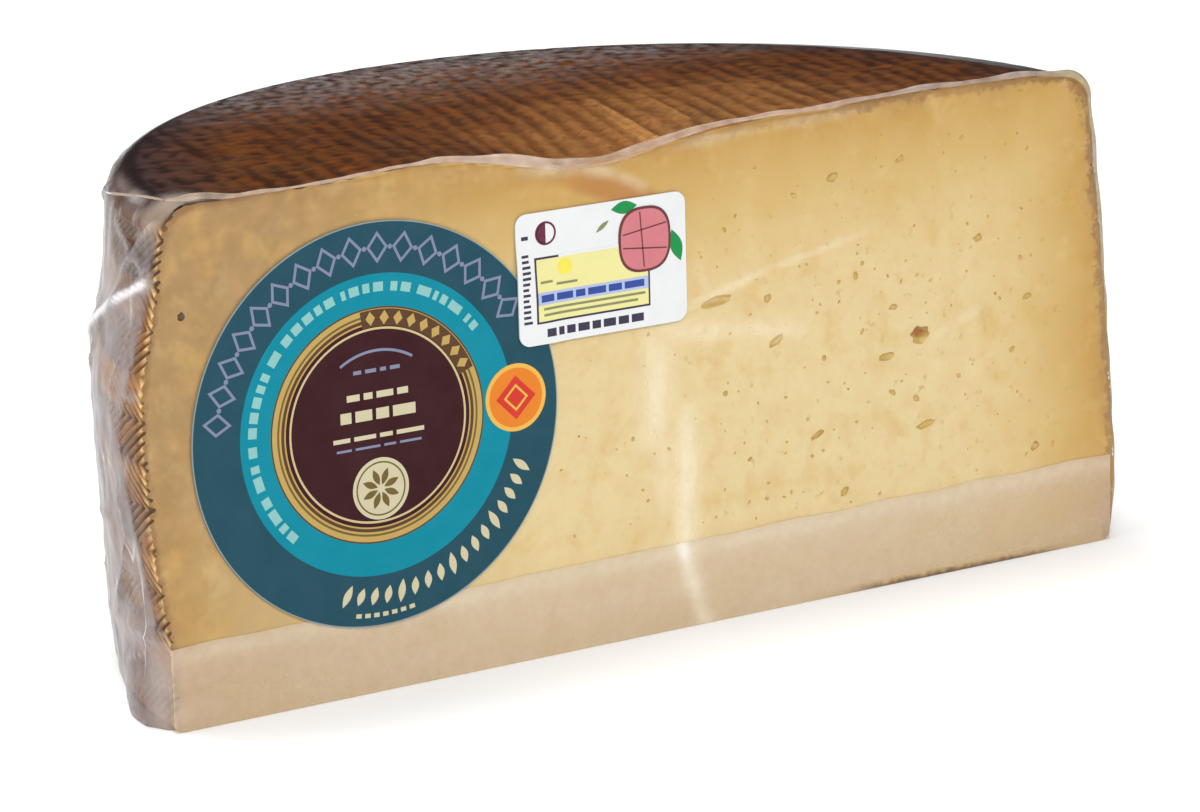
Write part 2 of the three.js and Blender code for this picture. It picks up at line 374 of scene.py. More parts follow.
def points_of(mesh):
    places = np.empty(len(mesh.vertices) * 3, dtype=np.float32)
    mesh.vertices.foreach_get("co", places)
    return places.reshape(-1, 3)


def new_material(name):
    material = bpy.data.materials.new(name)
    material.use_nodes = True
    tree = material.node_tree
    return material, tree, tree.nodes["Principled BSDF"]


def feed(socket, value):
    """Links the socket to a value that is a socket, and sets it to any other."""
    if isinstance(value, bpy.types.NodeSocket):
        socket.id_data.links.new(value, socket)
    else:
        socket.default_value = value


def tree_of(*values):
    """The node tree of the first value that is a socket."""
    return next(value.id_data for value in values if isinstance(value, bpy.types.NodeSocket))


def add_node(tree, kind, inputs=None, **settings):
    """A shader node with its settings, and with values or links for its inputs."""
    node = tree.nodes.new(kind)
    for key, value in settings.items():
        setattr(node, key, value)
    for key, value in (inputs or {}).items():
        feed(node.inputs[key], value)
    return node


def srgb(red, green, blue):
    """A colour given as 0 to 255, as the linear values that a shader takes."""
    parts = [c / 255 for c in (red, green, blue)]
    return tuple(c / 12.92 if c < 0.04045 else ((c + 0.055) / 1.055) ** 2.4 for c in parts) + (1,)


def colour_ramp(factor, stops):
    ramp = add_node(factor.id_data, "ShaderNodeValToRGB", {"Fac": factor})
    stones = ramp.color_ramp.elements
    while len(stones) < len(stops):
        stones.new(0.5)
    for stone, (place, colour) in zip(stones, stops):
        stone.position = place
        stone.color = srgb(*colour)
    return ramp.outputs["Color"]


def math_node(operation, *values, clamp=False):
    node = tree_of(*values).nodes.new("ShaderNodeMath")
    node.operation = operation
    node.use_clamp = clamp
    for socket, value in zip(node.inputs, values):
        feed(socket, value)
    return node.outputs[0]


def times(value, by, plus=0):
    return math_node("MULTIPLY_ADD", value, by, plus)


def mask_of(value, gain, start=0):
    """The value times the gain, from the start, kept within 0 and 1."""
    return math_node("MULTIPLY_ADD", value, gain, start, clamp=True)


def past(value, start, run):
    """The share of the run that the value is past its start, within 0 and 1."""
    return math_node("DIVIDE", math_node("SUBTRACT", value, start), run, clamp=True)


def mix_colours(factor, first, second):
    """Two colours mixed, each a socket or its red, green and blue from 0 to 255."""
    node = tree_of(factor, first, second).nodes.new("ShaderNodeMix")
    node.data_type = "RGBA"
    for key, value in (("Factor_Float", factor), ("A_Color", first), ("B_Color", second)):
        socket = next(s for s in node.inputs if s.identifier == key)
        feed(socket, srgb(*value) if isinstance(value, tuple) else value)
    return next(s for s in node.outputs if s.identifier == "Result_Color")


def tinted(colour, mask, share, tint):
    """The colour with a share of the tint where the mask is 1."""
    return mix_colours(times(mask, share), colour, tint)


def marked(tree, name):
    """The value that a piece's points carry under this name."""
    return add_node(tree, "ShaderNodeAttribute", attribute_name=name).outputs["Fac"]


def finish_surface(surface, colour, roughness, shine=0.5):
    feed(surface.inputs["Base Color"], colour)
    surface.inputs["Roughness"].default_value = roughness
    surface.inputs["Specular IOR Level"].default_value = shine


def stretched(place, scale):
    inputs = {0: place, 1: scale}
    return add_node(place.id_data, "ShaderNodeVectorMath", inputs, operation="MULTIPLY").outputs[0]


def wheel_place_group():
    """Node group: the place on the wheel in millimetres from its axis, the cut and the base."""
    group = bpy.data.node_groups.new("wheel_place", "ShaderNodeTree")
    group.interface.new_socket("Place", in_out="OUTPUT", socket_type="NodeSocketVector")
    for name in ("Across", "Back", "Up", "Radius"):
        group.interface.new_socket(name, in_out="OUTPUT", socket_type="NodeSocketFloat")
    where = add_node(group, "ShaderNodeTexCoord").outputs["Object"]
    off = add_node(group, "ShaderNodeVectorMath", {0: where, 1: WHEEL_PLACE}, operation="SUBTRACT")
    place = stretched(off.outputs[0], (1 / MM, 1 / MM, 1 / MM))
    parts = add_node(group, "ShaderNodeSeparateXYZ", {0: place})
    level = stretched(place, (1, 1, 0))
    radius = add_node(group, "ShaderNodeVectorMath", {0: level}, operation="LENGTH")
    out = group.nodes.new("NodeGroupOutput")
    for socket, value in zip(out.inputs, (place, *parts.outputs, radius.outputs["Value"])):
        feed(socket, value)
    return group


wheel_place = wheel_place_group()


def on_wheel(tree):
    node = tree.nodes.new("ShaderNodeGroup")
    node.node_tree = wheel_place
    return node.outputs


def cloudy(place, millimetres, detail=3, rough=0.55):
    """A noise whose lumps are about so many millimetres wide."""
    inputs = {"Vector": place, "Scale": 1 / millimetres, "Detail": detail, "Roughness": rough}
    return add_node(place.id_data, "ShaderNodeTexNoise", inputs).outputs["Fac"]


def lumps(place, millimetres, gain, start, detail=3, rough=0.6):
    return mask_of(cloudy(place, millimetres, detail, rough), gain, start)


def curve_of(at, start, end, function):
    """A length in the shader as a smooth function of another, from 25 of its values."""
    values = [function(start + (end - start) * k / 24) for k in range(25)]
    low, high = min(values) - 1, max(values) + 1
    limits = {"Value": at, "From Min": start, "From Max": end}
    share = add_node(at.id_data, "ShaderNodeMapRange", limits).outputs["Result"]
    node = add_node(at.id_data, "ShaderNodeFloatCurve", {"Value": share})
    points = node.mapping.curves[0].points
    while len(points) < 25:
        points.new(0.5, 0.5)
    for k, value in enumerate(values):
        points[k].location = (k / 24, (value - low) / (high - low))
    node.mapping.update()
    return times(node.outputs[0], high - low, low)


def foot_shows(across):
    """How clearly the rind of the base shows as a ragged line under the cut."""
    return ease((across - 30) / 25) * ease((98 - across) / 16)


def paste_material():
    """Cut paste: ivory in the middle and straw to tan under the rind, finely mottled."""
    material, tree, surface = new_material("cheese_paste")
    at = on_wheel(tree)
    place, across, up = at["Place"], at["Across"], at["Up"]
    on_left = math_node("LESS_THAN", across, 0)
    left = curve_of(up, 0, HEIGHT, lambda height: rind_radius(math.pi, height))
    right = curve_of(up, 0, HEIGHT, lambda height: rind_radius(0, height))
    rind = times(math_node("SUBTRACT", left, right), on_left, right)
    side = math_node("SUBTRACT", rind, at["Radius"])
    rim = curve_of(across, -105, 105, lambda along: top_height(along, 0))
    under_top = math_node("SUBTRACT", rim, up)
    # Darker towards the rind, and towards the upper left
    edge = math_node("SMOOTH_MIN", side, under_top, 14)
    edge = math_node("SMOOTH_MIN", edge, math_node("ADD", up, 18), 10)
    edge = times(cloudy(place, 16, 2), 12, edge)
    colour = colour_ramp(past(edge, 6, 45), (
        (0.0, (178, 136, 56)), (0.08, (192, 152, 64)), (0.25, (204, 173, 98)),
        (0.45, (216, 192, 134)), (0.75, (221, 203, 152)), (1.0, (222, 206, 157)),
    ))
    darker = times(past(-28, across, 52), mask_of(up, 0.016, 0.26))
    colour = tinted(colour, darker, 0.9, (158, 122, 70))
    for wide, detail, gain, start, share, patch in PASTE_PATCHES:
        colour = tinted(colour, lumps(place, wide, gain, start, detail), share, patch)
    speck = times(lumps(place, 2.4, 9, -5.5), past(across, -30, 60))
    colour = tinted(colour, speck, 0.75, (188, 160, 82))
    # A tan patch under the dip of the rim, sloping down to the right
    along = math_node("DIVIDE", math_node("ADD", across, 10), 11)
    above = math_node("DIVIDE", math_node("ADD", up, times(across, 0.28, -82.9)), 2.6)
    near = math_node("SUBTRACT", 1.2, times(along, along, times(above, above)), clamp=True)
    colour = tinted(colour, near, 0.9, (182, 122, 44))
    # The rind's own edge: a ragged line at the foot and a brown one round the cut
    ragged = cloudy(place, 2.2, 3, 0.7)
    foot = math_node("SUBTRACT", times(ragged, -2.6, 2.5), up, clamp=True)
    foot = times(foot, curve_of(across, -105, 105, foot_shows))
    colour = mix_colours(foot, colour, (120, 78, 40))
    near_rind = math_node("SMOOTH_MIN", side, under_top, 1.75 * TOP_ROUNDING)
    wide = times(ragged, times(on_left, 4, -7), times(on_left, -2.4, 5.5))
    section = math_node("SUBTRACT", wide, near_rind, clamp=True)
    section = times(section, times(on_left, -0.2, 0.75))
    share = curve_of(across, -105, 105, lambda along: along_curve(RIND_SHOWS, along))
    colour = mix_colours(times(section, share), colour, (128, 84, 38))
    finish_surface(surface, colour, 0.5)
    return material


def eye_material():
    """Wall of an eye: smooth, a little moist and more golden than the cut."""
    material, tree, surface = new_material("cheese_eye_wall")
    at = on_wheel(tree)
    colour = mix_colours(cloudy(at["Place"], 1.5, 2), (210, 180, 98), (190, 158, 76))
    # Painted shade: the wall turns orange-brown the deeper it lies, and the pinhole at the far left is
    # painted dark brown
    colour = mix_colours(mask_of(at["Back"], 1.1, -0.7), colour, (172, 108, 30))
    pinhole_painted_shade = math_node("SUBTRACT", -95, at["Across"], clamp=True)
    colour = mix_colours(pinhole_painted_shade, colour, (92, 62, 26))
    finish_surface(surface, colour, 0.4)
    return material


def rind_material():
    """Natural oiled rind: brown, darker in its furrows and nearly black towards the rim of the top."""
    material, tree, surface = new_material("cheese_rind")
    at = on_wheel(tree)
    place, back, up, radius = at["Place"], at["Back"], at["Up"], at["Radius"]
    crevice = marked(tree, "crevice")
    blotch = cloudy(place, 14, 4, 0.6)
    fine = cloudy(place, 1.6, 4, 0.65)
    # On the top: a warm patch behind the cut, dark brown round it and a bluish black rim
    aside = math_node("DIVIDE", math_node("SUBTRACT", at["Across"], 13), 40)
    behind = math_node("DIVIDE", back, 44)
    away = times(aside, aside, times(behind, behind))
    away = math_node("ADD", away, times(blotch, 1.6, -0.8))
    away = math_node("DIVIDE", away, 2.4, clamp=True)
    crest = colour_ramp(away, (
        (0.0, (168, 118, 66)), (0.3, (158, 106, 54)), (0.5, (132, 80, 36)), (1.0, (120, 66, 16)),
    ))
    furrow = colour_ramp(away, (
        (0.0, (134, 86, 40)), (0.3, (118, 74, 30)), (0.5, (82, 46, 18)), (1.0, (66, 34, 6)),
    ))
    top = mix_colours(crevice, crest, furrow)
    top = mix_colours(mask_of(crevice, -1), top, (206, 150, 84))
    drawn = stretched(place, (0.35, 1, 1))
    top = tinted(top, lumps(drawn, 1.1, 2.6, -0.9, 5, 0.75), 0.35, (64, 30, 8))
    top = tinted(top, lumps(place, 9, 6, -3.4, 4), 0.4, (96, 82, 44))
    top = tinted(top, lumps(drawn, 2.2, 4, -1.9, 5, 0.75), 0.45, (170, 96, 36))
    plum = times(lumps(place, 8, -6, 2.7, 4, 0.65), times(away, 0.9, 0.05))
    top = mix_colours(plum, top, (86, 50, 38))
    top = tinted(top, lumps(place, 1.6, 6, -3.3, 4, 0.75), 0.35, (44, 22, 10))
    rim = past(times(blotch, 12, radius), 84, 17)
    top = mix_colours(rim, top, mix_colours(crevice, (76, 56, 56), (40, 27, 30)))
    # Round the side: tan strokes with dark brown between them, pale beside the cut
    stroke = colour_ramp(blotch, (
        (0.25, (148, 98, 48)), (0.5, (180, 126, 66)), (0.75, (204, 152, 88)),
    ))
    bead = mask_of(back, -0.7, 1.5)
    stroke = tinted(stroke, bead, 0.85, (226, 190, 132))
    gap = colour_ramp(fine, ((0.3, (88, 50, 16)), (0.7, (124, 78, 30))))
    side = mix_colours(mask_of(crevice, 2.2, -0.3), stroke, gap)
    side = mix_colours(times(past(up, 72, 12), times(bead, -0.6, 0.6)), side, (78, 54, 38))
    on_top = math_node("MAXIMUM", past(up, HEIGHT - 3.4, 3), past(96, radius, 4))
    colour = mix_colours(on_top, side, top)
    colour = tinted(colour, mask_of(fine, 3, -1.2), 0.35, (44, 28, 22))
    finish_surface(surface, colour, 0.6, 0.08)
    bump = add_node(tree, "ShaderNodeBump", {"Height": fine, "Strength": 0.6, "Distance": 0.0004})
    feed(surface.inputs["Normal"], bump.outputs["Normal"])
    return material


cheese = as_object(wheel_half(BELT_DEPTH), "cheese")
cut_with(cheese, "INTERSECT", as_object(ridged_block(RIDGE_DEPTH, False), "ridged_block"))
cut_with(cheese, "DIFFERENCE", as_object(eye_balls(), "eye_balls"))


def finish_cheese(piece):
    """Gives each face its finish and each point of the rind the depth of its furrow."""
    mesh = piece.data
    mesh.materials.clear()
    for material in (paste_material(), rind_material(), eye_material()):
        mesh.materials.append(material)
    for face in mesh.polygons:
        middle = face.center
        if middle.y < 0.002:
            face.material_index = 0
        elif middle.y < EYES_DEEPEST and middle.xy.length < -EYES_LEFT and 3 < middle.z < 90:
            face.material_index = 2
        else:
            face.material_index = 1
    depths = []
    for vert in mesh.vertices:
        x, y, z = vert.co
        inset = rind_radius(math.atan2(y, x), min(max(z, 2), 92)) - math.hypot(x, y)
        from_side = inset / BELT_DEPTH
        from_top = (top_height(x, y) - z) / (RIDGE_DEPTH * ridge_share(x, y))
        on_top = 1 if inset > 7 else ease((z - HEIGHT + 5.5) / 3) if inset > 2.5 else 0
        depth = 0.3 if z < 1 else ease(from_side * (1 - on_top) + from_top * on_top)
        depths.append(depth - 2 * on_top * proud_ridge(Vector((x, y))))
    set_point_values(mesh, "crevice", depths)
    smooth_but_edges(piece, 50)
    for face in mesh.polygons:
        face.use_smooth = face.material_index != 0


finish_cheese(cheese)
place_piece(cheese)
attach(cheese, "root")
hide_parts("wrapped_cheese")


# Film
# The clear bag, shrunk onto the cheese when the air was drawn out. It lies tight on the cut and on
# the top, bridges the strokes of the belt, and crumples into milky, whitish creases round the side.
# The white of these creases is partly painted highlight; the pale streaks of the wrinkles on the cut
# are painted highlight, and the pale specks over the far rim of the top are painted glints.
VOXEL = 1.0
FILM_GAP = 0.2
FILM_RIDGE_DEPTH = 0.4
FACE_FRONT = -0.2
SIDE_SCALE = 1.8  # millimetres of rind to a degree
CREASES_SEED = 7
SIDE_CREASES = 90
FACE_CREASE_RISE = 0.6  # how far a wrinkle on the cut rises, as a share of its size
FLARE = 3.4
# How far the film lies tight on the rind round the left corner: height and millimetres
CONTACT = (
    (0, 0), (14, 0.3), (18, 3.2), (30, 4.2), (42, 7), (50, 9.5), (56, 8), (62, 5), (68, 3.4),
    (78, 2.2), (95, 1.2),
)
# Creases that stand out: degrees round from +X and height of both ends, width, rise, whiteness (milky
# film, partly painted highlight)
SIDE_FOLDS = (
    (184, 85, 170, 73.5, 1.9, 1.2, 0.95), (174, 77.5, 154, 61.5, 2.0, 1.1, 0.95),
    (181, 93.5, 169, 93, 1.1, 0.7, 0.8), (182, 94, 178.8, 91.8, 0.9, 0.6, 0.7),
    (178.8, 91.8, 176.5, 87.5, 0.9, 0.6, 0.75), (176.5, 87.5, 171.5, 78.5, 0.9, 0.6, 0.65),
    (181.5, 91.5, 178.5, 86, 1.9, 0.1, 0.5),
    (182, 15.8, 171, 16.8, 1.6, 0.6, 0.7), (173, 16.8, 158, 13, 1.5, 0.6, 0.68),
    (179, 15.5, 166, 6.5, 1.5, 0.6, 0.72),
    (177.8, 15, 178.2, 1, 0.7, 0.4, 0.4), (175, 36, 168, 20, 0.7, 0.5, 0.6),
    (173, 44, 175, 34, 0.7, 0.5, 0.5), (170, 24, 166, 16, 0.8, 0.5, 0.5),
)
# Places on the side where the rind shows through: degrees, height, half width, half height and
# the share of the haze that is gone
SIDE_GAPS = (
    (171, 61, 7, 4, 0.34), (172, 23, 6, 4.5, 0.5), (171, 86, 13, 7, 0.6), (175, 52, 4, 3, 0.25),
    (170, 37, 4, 3, 0.2), (171, 5, 9, 6, 0.3), (157, 80, 12, 9, 0.4),
)
# Wrinkles on the cut face, drawn as pale streaks of painted highlight: both ends across and up, width,
# rise, whiteness
FACE_WRINKLES = (
    (-30, 91.8, -15, 90.4, 1.3, 0.4, 0.3), (-17, 90.6, -8, 88.2, 1.2, 0.4, 0.3),
    (-9, 88.4, -2, 84.6, 1.1, 0.3, 0.26), (8, 70, 12, 60, 1.0, 0.2, 0.2),
    (60, 47, 74, 52, 1.1, 0.2, 0.2),
    (-1, 59, -1.6, 34, 3.8, 0.3, 0.42), (-1, 42, 0, 22, 1.9, 0.3, 0.28),
    (5, 44, 4.4, 5, 2.9, 0.35, 0.52), (1, 19, 6, 12, 3.6, 0.3, 0.3),
    (-1, 57.4, 17, 55.8, 2.4, 0.25, 0.36), (14, 56, 33, 53.4, 2.2, 0.2, 0.32),
    (3, 91.7, 24, 92.8, 0.9, 0.2, 0.2), (17, 92.5, 48, 93.5, 0.9, 0.2, 0.16),
    (5, 61.4, 26, 66.6, 0.9, 0.2, 0.34), (23, 65.8, 48, 70.4, 0.8, 0.2, 0.3),
)


def noise_at(places, millimetres, up=0):
    return np.array([noise.noise(Vector(p) / millimetres + Vector((0, 0, up))) for p in places])


def crease(points, start, end, width, blunt, waver=0):
    """How much of a crease from start to end is at each point: 1 on its line, less beside it and
    towards its ends, unless they are blunt."""
    start, way = np.array(start), np.array(end) - np.array(start)
    share = np.clip(((points - start) @ way) / (way @ way), 0, 1)
    off = np.linalg.norm(points - start - share[:, None] * way, axis=1) + waver
    return np.exp(-((off / width) ** 2)) * np.sqrt(np.clip(4 * share * (1 - share) + blunt, 0, 1))


def film_material():
    """Thin clear plastic: see-through with a gloss, and milky where it is creased or stands off."""
    material, tree, surface = new_material("clear_film")
    place = on_wheel(tree)["Place"]
    haze_and_sheen, warmth, slack, olive = [marked(tree, name) for name in ("haze_and_sheen", "warmth", "slack", "olive")]
    milk_and_highlight = times(haze_and_sheen, times(cloudy(place, 3.2, 4, 0.6), 0.6, 0.7))
    # Fine crinkle lines: real creases whose white is partly painted highlight
    crinkle_and_highlight = cloudy(stretched(place, (1, 1, 0.35)), 11, 2, 0.35)
    crinkle_and_highlight = math_node("ABSOLUTE", math_node("SUBTRACT", crinkle_and_highlight, 0.5))
    broken = lumps(place, 13, 5, -2.5, 1, 0.55)
    crinkle_and_highlight = times(mask_of(crinkle_and_highlight, -60, 1), times(broken, slack))
    milk_and_highlight = math_node("MINIMUM", times(crinkle_and_highlight, 0.4, milk_and_highlight), 0.95)
    cold = colour_ramp(cloudy(place, 9, 3), (
        (0.3, (124, 100, 98)), (0.42, (150, 140, 140)), (0.6, (170, 166, 168)), (0.8, (140, 140, 148)),
    ))
    colour = mix_colours(mask_of(warmth, 2), cold, (210, 187, 166))
    colour = mix_colours(mask_of(warmth, 2, -1), colour, (244, 238, 214))
    colour = mix_colours(olive, colour, (160, 142, 106))
    # Whitening where the haze is thickest and along the crinkle lines: partly milky film, partly
    # painted highlight
    white = math_node("MAXIMUM", mask_of(haze_and_sheen, 4, -2.6), crinkle_and_highlight)
    white = math_node("SUBTRACT", white, olive, clamp=True)
    colour = mix_colours(white, colour, (238, 234, 236))
    finish_surface(surface, colour, 0.35)
    ripple = times(cloudy(place, 5, 3, 0.6), times(slack, 0.85, 0.15))
    bump = add_node(tree, "ShaderNodeBump", {"Height": ripple, "Strength": 0.4, "Distance": 0.0004})
    normal = bump.outputs["Normal"]
    feed(surface.inputs["Normal"], normal)
    # Shadow rays pass, so that the cheese is lit through its film
    lit = math_node("SUBTRACT", 1, add_node(tree, "ShaderNodeLightPath").outputs["Is Shadow Ray"])
    clear = add_node(tree, "ShaderNodeBsdfTransparent", {"Color": (0.99, 0.985, 0.98, 1)})
    gloss = add_node(tree, "ShaderNodeBsdfGlossy", {"Roughness": 0.16, "Normal": normal})
    fresnel = add_node(tree, "ShaderNodeFresnel", {"IOR": 1.2, "Normal": normal})
    parts = {0: times(fresnel.outputs[0], lit), 1: clear.outputs[0], 2: gloss.outputs[0]}
    skin = add_node(tree, "ShaderNodeMixShader", parts)
    parts = {0: times(milk_and_highlight, lit), 1: skin.outputs[0], 2: surface.outputs[0]}
    whole = add_node(tree, "ShaderNodeMixShader", parts)
    feed(tree.nodes["Material Output"].inputs["Surface"], whole.outputs[0])
    return material


def even_skin(piece):
    """Remeshes the wrapped form as one even skin; gives its points and their normals."""
    skin = piece.modifiers.new("skin", "REMESH")
    skin.mode = "VOXEL"
    skin.voxel_size = VOXEL
    apply_modifiers(piece)
    bm = bmesh.new()
    bm.from_mesh(piece.data)
    bmesh.ops.smooth_vert(
        bm, verts=bm.verts, factor=0.5, use_axis_x=True, use_axis_y=True, use_axis_z=True
    )
    bm.normal_update()
    bm.to_mesh(piece.data)
    normals = np.array([vert.normal for vert in bm.verts])
    bm.free()
    return points_of(piece.data).astype(float), normals


def shrink_film(piece):
    """Raises the film off the cheese with its creases, and marks how milky it is at each point,
    with painted highlight on its creases and wrinkles and painted glints over the far rim of the top.
    """
    places, normals = even_skin(piece)
    x, y, z = places.T
    angle = np.degrees(np.arctan2(y, x))
    radius = np.hypot(x, y)
    face = 1 - ease((y - 0.6) / 1.2)
    on_top = ease((z - HEIGHT + 4) / 2.5) * (1 - face)
    side = ease((radius - 92) / 4) * (1 - face) * (1 - on_top)
    wave, ripple, grain = [noise_at(places, millimetres) for millimetres in (15, 5, 2)]
    broad = noise_at(places, 24, 40)
    from_left, from_right = (180 - angle) * SIDE_SCALE, angle * SIDE_SCALE
    off_rind = from_left - np.interp(z, *zip(*CONTACT)) - 1.2 * wave - 0.8 * ripple
    slack = side * ease(off_rind / 2) * ease((from_right - 1) / 4)
    rise = FILM_GAP + slack * (0.35 + 0.45 * wave + 0.3 * ripple)
    behind = ease((158 - angle) / 20)
    haze_and_sheen = 0.01 + 0.02 * (1 + ripple) * face + 0.03 * side + slack * (0.56 + 0.4 * wave)
    haze_and_sheen += slack * behind * (0.3 * broad + 0.1 * ripple - 0.25 * wave - 0.3)
    haze_and_sheen += 0.3 * side * np.exp(-(((off_rind - 1) / 0.8) ** 2)) * ease((z - 16) / 4)
    haze_and_sheen += 0.12 * slack * ease((17 - z) / 2)
    rise -= 0.3 * slack * np.exp(-((z / 14) ** 2)) * ease((angle - 130) / 15)
    haze_and_sheen = np.minimum(haze_and_sheen, 0.6)
    # Painted glints: pale specks of haze over the far rim of the top stand for the film's reflections
    # there
    far_rim_glints = on_top * ease((y - 45) / 45) * ease((x + 80) / 35)
    haze_and_sheen += far_rim_glints * np.clip(0.22 + 0.6 * grain, 0, 0.5)
    flat = np.stack([angle * SIDE_SCALE, z], axis=1)
    for where, height, wide, high, clear in SIDE_GAPS:
        off = ((flat[:, 0] - where * SIDE_SCALE) / wide) ** 2 + ((z - height) / high) ** 2
        haze_and_sheen -= clear * np.exp(-off) * side
    corner = ease((angle - 172) / 6) * ease((z - 87) / 4) * (1 - face)
    corner *= ease((radius - 88) / 6)
    haze_and_sheen = np.maximum(haze_and_sheen, corner * (0.5 + 0.3 * ripple))
    foot = ease((17 - z) / 2) * ease((angle - 150) / 20) * ease((radius - 92) / 4)
    foot *= 1 - ease((0.5 - y) / 0.6)
    haze_and_sheen = np.maximum(haze_and_sheen, foot * (0.5 + 0.2 * ripple))
    veil = ease((angle - 155) / 5) * ease((175 - angle) / 4)
    veil *= ease((z - 91) / 1.5) * ease((radius - 96) / 2)
    haze_and_sheen = np.maximum(haze_and_sheen, veil * (0.5 + 0.25 * ripple))
    warm_foot = 0.3 * foot * np.exp(-((from_left / 4) ** 2)) * (1 - face)
    flared = np.exp(-((z / 11) ** 2)) * ease((angle - 162) / 13)
    rise += FLARE * flared * ease((from_left - 0.5) / 6) * side

    draw = random.Random(CREASES_SEED)
    folds = list(SIDE_FOLDS)
    for _ in range(SIDE_CREASES):
        start, height = draw.uniform(2, 178), draw.uniform(3, 90)
        length, way = draw.uniform(6, 26), draw.uniform(-1.2, 1.2)
        end = start + length * math.cos(way) / SIDE_SCALE
        top = height + length * math.sin(way)
        folds.append((start, height, end, top, draw.uniform(0.6, 1.0), draw.uniform(0.2, 0.7), 0.6))
    # Each crease's whiteness is partly milky film and partly painted highlight
    for start, low, end, high, width, lift, white in folds:
        ends = (start * SIDE_SCALE, low), (end * SIDE_SCALE, high)
        ridge = crease(flat, *ends, width, 0.25) * side
        rise += lift * ridge
        haze_and_sheen = np.maximum(haze_and_sheen, white * ridge)

    on_face = np.stack([x, z], axis=1)
    # The pale streaks of the wrinkles on the cut are painted highlight
    for left, low, right, high, width, lift, white in FACE_WRINKLES:
        ridge = crease(on_face, (left, low), (right, high), width, 0, 0.3 * ripple) * face
        rise += FACE_CREASE_RISE * lift * ridge
        haze_and_sheen = np.maximum(haze_and_sheen, white * ridge)
    places += normals * rise[:, None]
    places[:, 1] = np.maximum(places[:, 1], FACE_FRONT)
    places[(normals[:, 1] < -0.8) & (y < 0.6), 1] = FACE_FRONT
    places[:, 2] = np.maximum(places[:, 2], 0.02)
    piece.data.vertices.foreach_set("co", places.astype(np.float32).ravel())
    set_point_values(piece.data, "haze_and_sheen", np.clip(haze_and_sheen, 0, 1))
    warmth = face - 0.7 * foot * face + 0.08 * on_top + 0.4 * corner + warm_foot
    set_point_values(piece.data, "warmth", np.clip(warmth, 0, 1))
    set_point_values(piece.data, "slack", slack)
    piece.data.materials.clear()
    piece.data.materials.append(clear_film)
    piece.data.shade_smooth()


clear_film = film_material()
film = as_object(wheel_half(0), "film")
cut_with(film, "INTERSECT", as_object(ridged_block(FILM_RIDGE_DEPTH, True), "film_block"))
shrink_film(film)
place_piece(film)
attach(film, "root")
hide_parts("wrapped_cheese")


# Pinched edge
# Where the film turns over the upper edge of the cut and down its right side it doesn't reach the
# rind: the two layers pinch together into a thin, pale roll.
EDGE_HIGH, EDGE_DEEP = 0.75, 0.4  # half the roll's thickness along and across the cut
EDGE_LEFT = 98.5
EDGE_CORNER = 5.9  # radius of its turn at the upper right corner
EDGE_OUT = 0.1  # how far it stands off the rind down the right side
EDGE_STEP = 0.5
EDGE_WEB_TURN = 166  # degrees; where the roll ends beyond the left corner
EDGE_WEB_RADIUS, EDGE_WEB_UP = 102.5, 93.2
EDGE_WEB_STEPS = 40


def tube(columns, around, place):
    """A closed tube with the point place(u, v), both 0 to 1, v running round its section."""
    bm = bmesh.new()
    bmesh.ops.create_grid(bm, x_segments=columns, y_segments=around, size=0.5)
    for vert in bm.verts:
        vert.co = place(vert.co.x + 0.5, vert.co.y + 0.5)
    bmesh.ops.remove_doubles(bm, verts=bm.verts, dist=0.0005)
    bmesh.ops.holes_fill(bm, edges=[edge for edge in bm.edges if edge.is_boundary])
    bmesh.ops.recalc_face_normals(bm, faces=bm.faces)
    return bm


def roll_height(across):
    """Height of the roll's middle line, a little above the rim of the cut and not quite along it."""
    height = top_height(across, 0) + 0.3 + 0.7 * hump(across + 32, 9)
    height += 0.6 * hump(across - 12, 14) + 0.9 * ease((-84 - across) / 10)
    return height - 0.3 * ease((across - 82) / 10)


def edge_path():
    """Points round the left corner, along the upper edge of the cut, and down its right side."""
    corner = EDGE_CORNER
    corner_across = rind_radius(0, HEIGHT - TOP_ROUNDING) + EDGE_OUT - corner
    corner_up = roll_height(corner_across) - corner
    points = []
    for step in range(EDGE_WEB_STEPS):
        share = step / EDGE_WEB_STEPS
        turn = math.radians(EDGE_WEB_TURN + (180 - EDGE_WEB_TURN) * share)
        radius = EDGE_WEB_RADIUS + (EDGE_LEFT - EDGE_WEB_RADIUS) * ease(share)
        up = EDGE_WEB_UP + (roll_height(-EDGE_LEFT) - EDGE_WEB_UP) * share
        points.append(Vector((radius * math.cos(turn), radius * math.sin(turn), up)))
    across = -EDGE_LEFT
    while across < corner_across:
        points.append(Vector((across, 0, roll_height(across))))
        across += EDGE_STEP
    for step in range(13):
        turn = step / 12 * math.pi / 2
        across = corner_across + corner * math.sin(turn)
        points.append(Vector((across, 0, corner_up + corner * math.cos(turn))))
    up = corner_up - EDGE_STEP
    while up > 0.8:
        off = EDGE_OUT * ease((up - 30) / 25)
        points.append(Vector((rind_radius(0, up) + off, 0, up)))
        up -= EDGE_STEP
    return points


